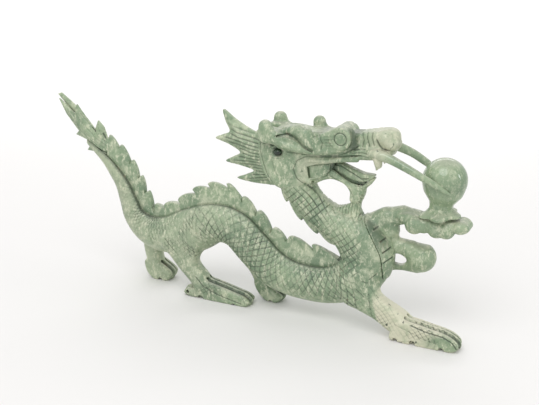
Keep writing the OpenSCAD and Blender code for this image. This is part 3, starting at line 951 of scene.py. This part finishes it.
def carve_head():
    f = Field((2, -25, 104), (142, 25, 184), FINE_STEP)
    bulge = 1.2 * np.exp(-((f.x - 44) ** 2 + (f.z - 136) ** 2) / 160)
    cheeks = 14.5 - 2.5 * share_of(f.x, 40, 68) + bulge
    f.add(f.plate(SKULL, 0, cheeks, 5), 0, "skull")
    add_muzzle(f)
    brain = chain(f, [(34, 0, 161, 8), (46, 0, 163, 9.5), (55, 0, 162.5, 9)], 0.9)
    f.add(brain, 3, "forehead")
    for side, name in ((NEAR_SIDE, "near_brow"), (FAR_SIDE, "far_brow")):
        add_brow(f, side, name)
    add_horns(f)
    for side in SIDES:
        part = f.beside(side, (50, 120), (96, 150), 20)
        part.cut(part.plate(CHEEK, side * 16, 6, 0.5, False), 0.5)
        for cut in MOUTH_CUTS:
            part.cut(chain(part, on_side(side, cut)), 0.4)
        part = f.beside(side, (20, 150), (112, 184), 22)
        for cut in BROW_CUTS:
            part.cut(chain(part, on_side(side, cut)), 0.8)
    # Notches across the top of the snout, which rises towards the nose.
    for x in (105, 110, 115, 120):
        z = 174.5 + 0.22 * (x - 105)
        part = f.block((x - 4, -12, z - 5), (x + 4, 12, z + 5))
        part.cut(np.hypot(part.x - x, part.z - z) - 1.3, 0.5)
    for side in SIDES:
        part = f.beside(side, (114, 154), (134, 178), 18)
        slit = [(x, 10, z, radius) for (x, z), radius in zip(NOSTRIL, NOSTRIL_RADII)]
        part.cut(chain(part, on_side(side, slit)), 0.6)
    return f


HEAD_LINES = [
    ([(108, 156), (96, 154), (82, 151.5), (70, 150), (60, 149.5), (52, 145), (49, 137), (52, 129),
      (59, 123.5)], 1.6, 0.8),
    ([(104, 163), (98, 158.5), (88, 153.5), (76, 151.5), (60, 151), (42, 151.5), (28, 153.5)], 1.8, 0.7),
    ([(34, 165), (43, 167), (52, 164), (59, 159), (67, 156)], 2.0, 0.7),
    ([(72, 171), (76, 164), (75, 159)], 1.8, 0.7),
    ([(18, 157), (17.5, 150), (20.5, 140), (24, 130), (30, 121)], 1.8, 0.8),
    ([(22, 156), (21.5, 150), (24.5, 140), (28, 131), (33, 124)], 5.0, -0.9),
    ([(27, 155), (27.5, 148), (30, 138), (33, 130)], 2.0, 0.5),
    ([(19, 159), (25, 157), (33, 155)], 3.5, 1.3),
    ([(28, 152.5), (31, 154.8), (36, 154.8), (42, 151)], 2.0, -0.8),
    ([(28, 148), (31.5, 145.2), (37, 145.2), (44, 149)], 2.0, -0.8),
    ([(41, 150), (46, 148.5)], 1.6, 0.5),
    ([(99, 154.5), (108, 155.5), (114, 155)], 1.3, 0.7),
    ([(100, 157), (108, 158.4), (113, 158)], 1.3, 0.8),
    ([(101, 159.6), (107, 161.2), (111, 161)], 1.3, 0.7),
    ([(107, 175), (109, 168), (108, 163)], 1.8, 0.8),
    ([(111.5, 176), (112, 170), (114, 164)], 1.8, 0.8),
    ([(116, 177), (116, 171), (118, 165)], 1.8, 0.8),
    (NOSTRIL, 2.0, 0.9),
    ([(64, 141), (79, 144.5)], 1.4, 0.6),
    ([(66, 136), (74, 139)], 1.2, 0.4),
]
EYE = (34, 150)
EYE_SIDE = 13.6
EYE_RADIUS = 2.9
EYE_STRETCH = 1.3
# Painted shade: beside the near knob's root and between the knob and the scroll.
TEMPLE_SHADE = (42, 167)
BROW_DIP_SHADE = (70.5, 172.5)


def head_relief(skin):
    x, y, z = skin.points.T
    flank = skin.sideways(0.15, 0.4)
    brow = skin.share("near_brow", 1) + skin.share("far_brow", 1)
    lines = engrave(x, z, HEAD_LINES) * flank
    sx, sz, _ = SCROLL
    end = share_of(np.abs(y), 16.6, 17.8)
    ring = bowl(np.hypot(x - sx - 1, z - sz) - 5.2, 1.7) * end
    ticks = stripes(z - 0.15 * (x - 80), 2.7, 1.3) * bowl(x - 81.5, 11) ** 0.5 * bowl(z - 166, 16) ** 0.5
    lines += 0.9 * ring + 0.7 * ticks * flank * share_of(brow, 0.4, 0.8)
    lines += 2.0 * spot(x, z, EYE, EYE_STRETCH, 11) * flank
    on_lip = share_of(149.5 - z, 0, 3) * share_of(x, 50, 54) * share_of(np.abs(y), 11, 12)
    cream = 0.55 * share_of(x, 106, 124) + 0.4 * on_lip
    dent = 0.6 * waver(x, z + y, 5) * skin.share("nose", 2)
    # Painted shade: in the lines and the eye socket, in the gap behind the scroll, beside the knob's root,
    # in the dip before the scroll and at the throat.
    behind = bowl(x - 100.5, 13) ** 0.5 * share_of(z, 157, 161) * share_of(16.6 - np.abs(y), 0, 2)
    temple = spot(x, z, TEMPLE_SHADE, 2.4, 8) * share_of(17 - np.abs(y), 0, 2)
    dip = spot(x, z, BROW_DIP_SHADE, 1.8, 10) * share_of(16 - np.abs(y), 0, 2)
    throat = share_of(x, 75.5, 78) * share_of(149 - z, 0, 3) * share_of(11 - np.abs(y), 0, 2)
    painted_shade = 0.9 * lines + 0.7 * behind + 0.5 * temple + 0.6 * dip + 0.8 * throat
    return lines + 0.5 * dent, np.clip(painted_shade, 0, 1), np.clip(cream, 0, 0.9)


def eye_fields():
    """A bead in each eye socket, a little longer than it is high."""
    for side, name in ((NEAR_SIDE, "near_eye"), (FAR_SIDE, "far_eye")):
        x, y, z = EYE[0], side * EYE_SIDE, EYE[1]
        f = Field((x - 6, y - 5, z - 6), (x + 6, y + 5, z + 6), EYE_STEP)
        bead = np.sqrt(((f.x - x) / EYE_STRETCH) ** 2 + (f.y - y) ** 2 + (f.z - z) ** 2)
        f.add(bead - EYE_RADIUS, 0, name)
        yield f


# ---- Mane, jaw, tongue, beard, fangs and whiskers ----

MANE = [
    (-24, 178), (-13, 171), (-2, 165), (8, 161), (22, 158), (34, 148), (34, 124), (28, 116),
    (16, 115), (2, 115), (-11, 117), (-3, 121), (5, 126), (-8, 129), (-22, 131), (-15, 136),
    (-8, 141), (-19, 147), (-32, 151), (-25, 155), (-18, 159), (-22, 168),
]
MANE_FOCUS = (88, 141)
MANE_RADIUS = 72


def mane_field():
    f = Field((-36, -12, 110), (40, 12, 182), FINE_STEP)
    f.add(blade(f.flat(MANE), f.y, 1.1, 0.5, 7.5), 0, "mane")
    return f


def mane_relief(skin):
    """Strands that fan out from a point inside the head."""
    x, _, z = skin.points.T
    x0, z0 = MANE_FOCUS
    fan = MANE_RADIUS * np.arctan2(z - z0, x0 - x)
    fan = fan + 0.5 * waver(x, z, 9)
    cuts = stripes(fan, 2.7, 1.7) * skin.sideways()
    cuts *= share_of(-outline_distance(MANE, x, z), 1.0, 3.5) * (1 - 0.6 * share_of(z, 158, 168))
    # The strands are cut, and painted shade darkens them.
    return 0.75 * cuts, 0.75 * cuts, 0


JAW = [
    (66, 134), (72, 137), (80, 139), (90, 133), (99, 129), (107, 130), (117, 135), (114, 129),
    (110, 125), (107, 119), (104, 113), (97, 113), (97, 120), (93, 126), (87, 129), (80, 130),
    (73, 128), (64, 124),
]
TONGUE = [
    (76, 140), (86, 144), (97, 141), (107, 138), (117, 137), (112, 132), (105, 130), (97, 131),
    (88, 135), (79, 138),
]
MOUTH_FLOOR = [(76, 141), (88, 141), (100, 136), (108, 132), (110, 128), (99, 127), (88, 130), (76, 135)]
BEARD = [
    (76, 92), (79, 103), (88, 106), (95, 109), (97, 114), (97, 121), (108, 121), (105, 110),
    (106, 101), (112, 92),
]
JAW_HOLLOW = [(76, 144), (76, 135), (90, 132), (100, 127), (108, 128), (113, 140)]
JAW_LINES = [
    ([(66, 131), (78, 134), (89, 129), (97, 123), (100, 118)], 1.6, 0.7),
    ([(102, 127), (108, 128), (113, 131)], 1.6, 0.7),
    ([(101, 132), (104, 128), (108, 124)], 1.4, 0.5),
]
TONGUE_LINES = [([(80, 143), (88, 142), (98, 137), (106, 133), (112, 134)], 1.9, 0.9)]


def jaw_field():
    f = Field((52, -13, 84), (124, 13, 150), FINE_STEP)
    f.add(f.plate(JAW, 0, 8 - 3.5 * share_of(f.x, 92, 114), 3), 0, "lower_jaw")
    f.cut(f.plate(JAW_HOLLOW, 0, 4.6, 0.5), 0.8)
    f.add(f.plate(MOUTH_FLOOR, 0, 3, 1, False), 0, "lower_jaw")
    f.add(f.plate(BEARD, 0, 7.5 - 3 * share_of(f.z, 97, 108), 2.5), 3, "beard")
    return f


def jaw_relief(skin):
    x, y, z = skin.points.T
    flank = skin.sideways()
    lines = engrave(x, z, JAW_LINES) * flank
    strands = stripes(x + 2.2 * np.sign(y) + 0.02 * (z - 105) ** 2 * np.sign(x - 101), 2.6, 1.3)
    lines += 0.8 * strands * share_of(skin.share("beard", 3), 0.4, 0.9)
    # Painted shade in the lines and inside the mouth, between the jaw's sides.
    inside = share_of(4.4 - np.abs(y), 0, 0.8) * share_of(z, 125, 128) * share_of(114 - x, 0, 4)
    return lines, np.clip(0.8 * lines + 0.75 * inside, 0, 1), 0


def tongue_field():
    f = Field((70, -8, 128), (124, 8, 150), FINE_STEP)
    f.add(f.plate(TONGUE, 0, 3.8, 1.6), 0, "tongue")
    return f


def tongue_relief(skin):
    x, _, z = skin.points.T
    lines = engrave(x, z, TONGUE_LINES) * skin.sideways(0.1, 0.4)
    # Painted shade in the lines and at the tongue's root, deep in the mouth.
    root = share_of(87 - x, 0, 6)
    return lines, np.clip(lines + 0.8 * root, 0, 1), 0


# One fang, from its root in the nose down to its point.
FANG = [(121.5, 10, 155, 4.2), (122.4, 10, 149.6, 3.2), (121, 10, 145.4, 0.9)]


def fang_field():
    f = Field((112, -14, 138), (132, 14, 160), FINE_STEP)
    for side in SIDES:
        f.add(chain(f, on_side(side, FANG)), 0, "fangs")
    return f


def cream_relief(skin):
    return 0, 0, 0.8


# Whiskers as points of x, y, z and radius.
WHISKERS = {
    "near_whisker": [
        (114, -8, 159, 3.6), (123, -10.5, 158, 4.6), (132, -12, 156.5, 3.9), (146, -14.5, 152, 3.4),
        (160, -15, 146, 3.0), (168, -14, 142, 2.8), (175, -13, 138, 2.3), (181, -12.2, 134.6, 1.5),
        (184, -11.4, 133, 0.7),
    ],
    "far_whisker": [
        (124, 8, 163, 4.2), (131, 11, 161, 4), (143, 14, 156, 3.5), (154, 14.5, 150, 3.2),
        (162, 14, 145.5, 2.4), (168, 13.4, 142, 1.4),
    ],
}


def whisker_relief(skin):
    """The near end of each whisker takes on the cream of the nose."""
    return 0, 0, 0.5 * share_of(138 - skin.points[:, 0], 0, 14)


def whisker_field(name):
    points = WHISKERS[name]
    p = np.array(points)
    f = Field(p[:, :3].min(0) - 6, p[:, :3].max(0) + 6, FINE_STEP)
    f.add(chain(f, [tuple(v) for v in smooth_line(points, 4)]), 0, name)
    return f


# ---- Belly strip ----

# Short grooves across the strip, from its edge.
STRIP_GROOVES = ((120, 92), (127, 83), (130, 74), (131, 65))
STRIP_LINES = [([(x, z), (x + 6, z + 4)], 1.8, 1.0) for x, z in STRIP_GROOVES]
STRIP = list(smooth_line(STRIP_EDGE, 4)) + [(146, 48), (146, 112), (118, 112), (105, 104)]
# The outline of the painted shade on the strip's near side.
STRIP_SHADE = STRIP_EDGE[:4] + [(135, 70), (140, 78), (132, 90), (124, 103)]


def strip_shade(x, y, z):
    """Painted shade on the strip's near side, darker towards the top."""
    inside = share_of(-outline_distance(STRIP_SHADE, x, z), -0.5, 1.5)
    return 0.6 * inside * share_of(-y, 1, 5) * share_of(z, 64, 84)


def strip_field():
    """The smooth strip down the front of the chest, a shade above the stone around it."""
    f = Field((98, -17, 48), (142, 6, 112), FINE_STEP)
    index, up, past = spine_plane(f)
    half = (spine.half[index] + 2.2).astype(np.float32)
    side = (spine.side[index] + 1.2).astype(np.float32)
    k = np.sqrt(((up - 1) / half) ** 2 + (past / half) ** 2 + (f.y / side) ** 2)
    shell = (k - 1) * np.minimum(half, side)
    web = chain(f, [(98, 3, 82, 15), (116, 6, 92, 10), (126, 7, 99, 9.3)], 1.1)
    f.add(np.maximum(joined(shell, web, 4), f.flat(STRIP, False)), 0, "belly_plates")
    return f


def strip_relief(skin):
    x, y, z = skin.points.T
    lines = engrave(x, z, STRIP_LINES) * share_of(-y, 2, 5)
    # Painted shade in the grooves and on the strip's near side.
    return lines, np.clip(1.3 * lines + strip_shade(x, y, z), 0, 1), 0


# ---- Pearl and collar ----

PEARL = (174, 6, 139)
PEARL_RADIUS = 18.5
# Where the near whisker lies across the pearl, and where its shadow is painted on it.
PEARL_SHADOW = [(158, 147.5), (168, 142.5), (175, 138.5), (181, 134.8)]
COLLAR_TOP = 117.5
COLLAR_REACH = 15.6
COLLAR_LOBES = 5
LOBE_REACH = 2.2


def pearl_field():
    x, y, z = PEARL
    f = Field((x - 22, y - 22, 104), (x + 22, y + 22, 160), BODY_STEP)
    f.add(ball(f, x, y, z, PEARL_RADIUS), 0, "pearl")
    f.add(chain(f, [(x - 0.5, y, 128, 14.5), (x - 1.5, y, 120, 10.2), (x - 2, y, 114, 9.4)]), 5, "pearl")
    return f


def pearl_relief(skin):
    x, y, z = skin.points.T
    # A painted shadow of the near whisker on the pearl's near side.
    whisker = line_distance(PEARL_SHADOW, x, z)
    return 0, bowl(whisker, 9) * share_of(-y, 4, 8) * 0.35, 0


def collar_field():
    """A wavy plate round the foot of the pearl, which sinks away from the foot."""
    x0, y0, _ = PEARL
    f = Field((x0 - 24, y0 - 22, 98), (x0 + 22, y0 + 22, 124), FINE_STEP)
    r = np.hypot(f.x - x0 + 2, f.y - y0)
    angle = np.arctan2(f.y - y0, f.x - x0 + 2)
    wave = np.cos(COLLAR_LOBES * angle + 0.8)
    reach = COLLAR_REACH + LOBE_REACH * wave
    high = COLLAR_TOP - 0.55 * r + wave * r / 16 + 0.08 * (f.x - x0)
    plate = np.maximum(r - reach, np.abs(f.z - high) * 0.88 - 2.6 + 0.1 * r)
    f.add(plate, 0, "pearl_collar")
    f.add(np.maximum(r - 9.5, np.abs(f.z - 110) - 6), 2.5, "pearl_collar")
    return f


def all_fields():
    """Each carved block of the stone with the function that engraves it."""
    yield carve_body(), body_relief
    yield carve_head(), head_relief
    yield mane_field(), mane_relief
    yield jaw_field(), jaw_relief
    yield tongue_field(), tongue_relief
    yield fang_field(), cream_relief
    for f in eye_fields():
        yield f, plain_relief
    for name in WHISKERS:
        yield whisker_field(name), whisker_relief
    yield flame_field(), flame_relief
    yield barb_field(), plain_relief
    yield strip_field(), strip_relief
    yield pearl_field(), pearl_relief
    yield collar_field(), plain_relief
    for name, fin in FINS.items():
        yield fin_field(name, *fin), plain_relief


# ---- Stone ----

# The colour sockets of a Mix node.
MIX_A, MIX_B, MIX_RESULT = 6, 7, 2
# The height of the surface grain, in metres.
GRAIN_HEIGHT = 0.0004


class Stone:
    """A material for mottled jade, built from nodes."""

    def __init__(self, name):
        self.material = bpy.data.materials.new(name)
        self.material.use_nodes = True
        self.tree = self.material.node_tree
        self.shader = self.tree.nodes["Principled BSDF"]
        self.place = self.node("TexCoord", {}).outputs["Object"]

    def feed(self, value, socket):
        """Links a value to a socket, or sets the socket to a number or a colour."""
        if isinstance(value, tuple):
            socket.default_value = (*value, 1)
        elif isinstance(value, (int, float)):
            socket.default_value = value
        else:
            self.tree.links.new(value, socket)

    def node(self, kind, sockets, **settings):
        """A new node, with its settings and its sockets fed with the given values."""
        made = self.tree.nodes.new("ShaderNode" + kind)
        for key, value in settings.items():
            setattr(made, key, value)
        for key, value in sockets.items():
            self.feed(value, made.inputs[key])
        return made

    def noise(self, scale, detail, roughness=0.6, distortion=0.0, stretch=None):
        """A cloudy pattern through the stone. stretch scales its three axes."""
        place = self.place
        if stretch:
            mapping = self.node("Mapping", {"Vector": place})
            mapping.inputs["Scale"].default_value = stretch
            place = mapping.outputs["Vector"]
        shape = {"Scale": scale, "Detail": detail, "Roughness": roughness, "Distortion": distortion}
        return self.node("TexNoise", {"Vector": place, **shape}).outputs["Fac"]

    def ramp(self, value, low, high, top=1.0):
        """0 where the value is at low, top where it is at high, and smooth between."""
        sockets = {"Value": value, "From Min": low, "From Max": high, "To Max": top}
        return self.node("MapRange", sockets, interpolation_type="SMOOTHSTEP").outputs["Result"]

    def mix(self, share, a, b):
        """The colour a, and the colour b where share is 1."""
        sockets = {"Factor": share, MIX_A: a, MIX_B: b}
        return self.node("Mix", sockets, data_type="RGBA").outputs[MIX_RESULT]

    def attribute(self, name):
        return self.node("Attribute", {}, attribute_name=name).outputs["Fac"]

    def upward(self):
        """How far the surface faces up: 1 where it is level, 0 where it is upright."""
        normal = self.node("NewGeometry", {}).outputs["Normal"]
        return self.node("SeparateXYZ", {0: normal}).outputs["Z"]

    def finish(self, colour, rough, spread, grain):
        """Sets the surface: its colour, its roughness and how far that varies, and its grain."""
        worn = self.ramp(self.noise(400, 2), 0.3, 0.7)
        level = self.node("MapRange", {"Value": worn, "To Min": rough, "To Max": rough + spread})
        height = self.noise(650, 3, 0.7)
        bump = self.node("Bump", {"Height": height, "Strength": grain, "Distance": GRAIN_HEIGHT})
        self.feed(colour, self.shader.inputs["Base Color"])
        self.feed(level.outputs["Result"], self.shader.inputs["Roughness"])
        self.feed(bump.outputs["Normal"], self.shader.inputs["Normal"])
        self.shader.inputs["IOR"].default_value = 1.6
        return self.material


# Colours of the stone, the eyes and the floor, with the pink of the painted light on level tops and the
# dark of the painted shade in cuts.
DARK = (0.155, 0.232, 0.138)
MID = (0.275, 0.360, 0.222)
LIGHT = (0.58, 0.61, 0.44)
CREAM = (0.62, 0.61, 0.46)
LIT_TOP_PINK = (0.50, 0.44, 0.40)
CUT = (0.020, 0.040, 0.022)
RUST = (0.10, 0.06, 0.025)
GREEN_CLOUD = (0.38, 0.44, 0.29)
EYE_BLACK = (0.006, 0.014, 0.008)
EYE_GREEN = (0.03, 0.06, 0.03)
PAPER = (0.76, 0.75, 0.74, 1)


def jade(name, pale=0.0, rough=0.34, spread=0.18, grain=0.3, fleck=1.0):
    """Mottled green jade. pale raises the share of light patches, and fleck is the strength of the
    flecks."""
    s = Stone(name)
    # Broad clouds, then light patches, light streaks, dark patches and pale flecks.
    colour = s.mix(s.ramp(s.noise(22, 3), 0.38, 0.62), DARK, MID)
    colour = s.mix(s.ramp(s.noise(95, 5, 0.7, 0.5), 0.44 - pale, 0.74 - pale, 0.75), colour, LIGHT)
    streaks = s.noise(300, 4, 0.7, 0.0, (1, 1, 0.45))
    colour = s.mix(s.ramp(streaks, 0.51, 0.65, 0.85 * fleck), colour, LIGHT)
    colour = s.mix(s.ramp(s.noise(240, 4, 0.7, 0.3), 0.50, 0.33, 0.75), colour, DARK)
    colour = s.mix(s.ramp(s.noise(520, 3, 0.6), 0.60, 0.74, 0.6 * fleck), colour, CREAM)
    # The cream stone of the nose and the fore paw, with green clouds and black specks.
    cream = s.mix(s.ramp(s.noise(130, 5, 0.7, 0.8), 0.44, 0.68, 0.8), CREAM, GREEN_CLOUD)
    cream = s.mix(s.ramp(s.noise(190, 2, 0.6, 0.5), 0.67, 0.70, 0.9), cream, CUT)
    colour = s.mix(s.attribute("cream"), colour, cream)
    # Painted light on level tops as a pink tint, lighter ridges, and painted shade in every cut.
    colour = s.mix(s.ramp(s.upward(), 0.6, 1.0, 0.28), colour, LIT_TOP_PINK)
    hollow = s.attribute("hollow")
    colour = s.mix(s.ramp(hollow, -0.1, -0.6, 0.3), colour, LIGHT)
    # The painted shade in grooves and in the places the painted_shade attribute marks: near black, brown in
    # places.
    cut_shade_and_rust = s.mix(s.ramp(s.noise(90, 2), 0.60, 0.72), CUT, RUST)
    colour = s.mix(s.ramp(hollow, 0.05, 0.45, 0.85), colour, cut_shade_and_rust)
    colour = s.mix(s.ramp(s.attribute("painted_shade"), 0.05, 1.0, 0.8), colour, cut_shade_and_rust)
    return s.finish(colour, rough, spread, grain)


def eye_bead():
    s = Stone("eye_stone")
    colour = s.mix(s.ramp(s.noise(160, 3), 0.4, 0.6), EYE_BLACK, EYE_GREEN)
    return s.finish(colour, rough=0.08, spread=0.08, grain=0.05)


STONES = {
    "jade": jade("jade"),
    "light_jade": jade("light_jade", pale=0.005),
    "cream_jade": jade("cream_jade"),
    "deep_jade": jade("deep_jade", pale=-0.04),
    "eye_stone": eye_bead(),
}
# The pearl and the whiskers are polished, the rest is satin.
POLISHED = jade("polished_jade", pale=-0.08, rough=0.08, spread=0.06, grain=0.04, fleck=0.5)
GLOSSY = ("pearl", "near_whisker", "far_whisker")
SLOTS = {s["node"]: s["material_slot"] for s in frame["record"]["subparts"]}

for field, relief in all_fields():
    stone_pieces(field, relief)

# ---- Stage, light and camera ----

AZIMUTH = math.radians(25)
ELEVATION = math.radians(20)
DISTANCE = 0.88
AIM = (0.020, 0, 0.098)
LENS = 66.8
FLOOR_HALF = 4


def floor():
    mesh = bpy.data.meshes.new("floor")
    w = FLOOR_HALF
    mesh.from_pydata([(-w, -w, 0), (w, -w, 0), (w, w, 0), (-w, w, 0)], [], [(0, 1, 2, 3)])
    item = new_object("floor", mesh)
    material = bpy.data.materials.new("paper")
    material.use_nodes = True
    shader = material.node_tree.nodes["Principled BSDF"]
    shader.inputs["Base Color"].default_value = PAPER
    shader.inputs["Roughness"].default_value = 0.8
    mesh.materials.append(material)


def lamp(name, place, aim, wide, high, power):
    """A soft lamp of the given size in metres and power in watts."""
    data = bpy.data.lights.new(name, "AREA")
    data.shape = "ELLIPSE"
    data.size = wide
    data.size_y = high
    data.energy = power
    item = new_object(name, data)
    item.location = place
    item.rotation_euler = (Vector(aim) - Vector(place)).to_track_quat("-Z", "Y").to_euler()


def sky(strength):
    world = bpy.data.worlds.new("studio")
    bpy.context.scene.world = world
    world.use_nodes = True
    back = world.node_tree.nodes["Background"]
    back.inputs["Color"].default_value = (1, 1, 1, 1)
    back.inputs["Strength"].default_value = strength


def camera():
    data = bpy.data.cameras.new("camera")
    item = new_object("camera", data)
    bpy.context.scene.camera = item
    level = math.cos(ELEVATION)
    back = Vector((math.sin(AZIMUTH) * level, -math.cos(AZIMUTH) * level, math.sin(ELEVATION)))
    item.location = Vector(AIM) + back * DISTANCE
    item.rotation_euler = (-back).to_track_quat("-Z", "Y").to_euler()
    data.lens = LENS
    data.sensor_width = 36
    data.clip_start = 0.01


floor()
lamp("key", place=(0.1, -0.7, 1.3), aim=(0, 0, 0.08), wide=1.0, high=1.0, power=7)
lamp("back", place=(-0.8, 2.0, 1.2), aim=(-0.9, 2.4, 0), wide=2.4, high=2.4, power=40)
lamp("glint", place=(0.92, 0.12, 0.40), aim=(0.17, 0, 0.14), wide=0.08, high=0.3, power=0.5)
sky(strength=0.92)
camera()
bpy.context.scene.view_settings.view_transform = "Standard"
